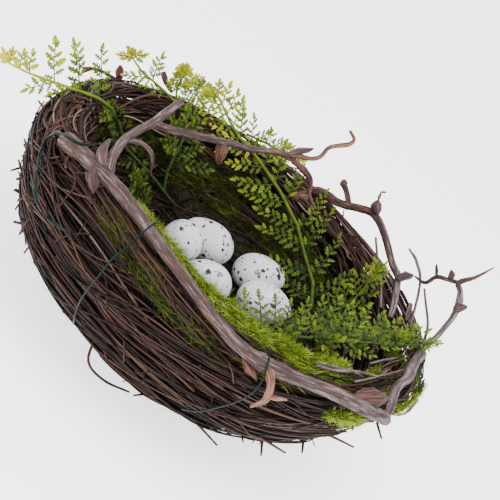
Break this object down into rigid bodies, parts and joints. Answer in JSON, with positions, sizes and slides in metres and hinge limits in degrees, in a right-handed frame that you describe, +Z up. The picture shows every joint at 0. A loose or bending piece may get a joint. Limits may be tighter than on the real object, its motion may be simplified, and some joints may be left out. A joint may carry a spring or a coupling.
{
  "type": "bird nest with eggs",
  "caption": "Decorative bird nest of wound dark twigs holding speckled white eggs, with moss, fern sprays and bare branches along its rim.",
  "frame": {"origin": "middle of the flat underside of the nest, on the surface it stands on", "axes": "+Z up out of the bowl's mouth, -Y to the front where the long branch lies on the rim, +X to the right"},
  "size_m": [0.3052, 0.2527, 0.1669],
  "materials": {
    "twig": "dry dark-brown twigs",
    "bark": "weathered grey-brown bark",
    "red_bark": "smooth red-brown bark",
    "moss": "dry preserved moss",
    "fern": "satin artificial foliage",
    "egg": "matt white with dark speckles",
    "wire": "dark green lacquer"
  },
  "bodies": {
    "root": {"back_branch": "bark", "bark_strip": "bark", "egg_1": "egg", "egg_2": "egg", "egg_3": "egg", "egg_4": "egg", "egg_5": "egg", "fern_back": "fern", "fern_back_left": "fern", "fern_back_small": "fern", "fern_front": "fern", "fern_inner_left": "fern", "fern_left": "fern", "fern_left_small": "fern", "fern_right": "fern", "fern_rim": "fern", "hooked_twig": "bark", "moss_bed": "moss", "nest_wall": "twig", "outer_moss_front": "moss", "outer_moss_right": "moss", "red_bud_stub": "red_bark", "red_twig": "red_bark", "right_twig": "bark", "right_twig_arm": "bark", "rim_branch": "bark", "rim_moss": "moss", "side_branch": "bark", "thin_twig_1": "bark", "thin_twig_2": "bark", "thin_twig_3": "bark", "thin_twig_4": "bark", "upper_branch": "bark", "wire_front": "wire", "wire_left": "wire", "wire_right": "wire"}
  },
  "joints": []
}
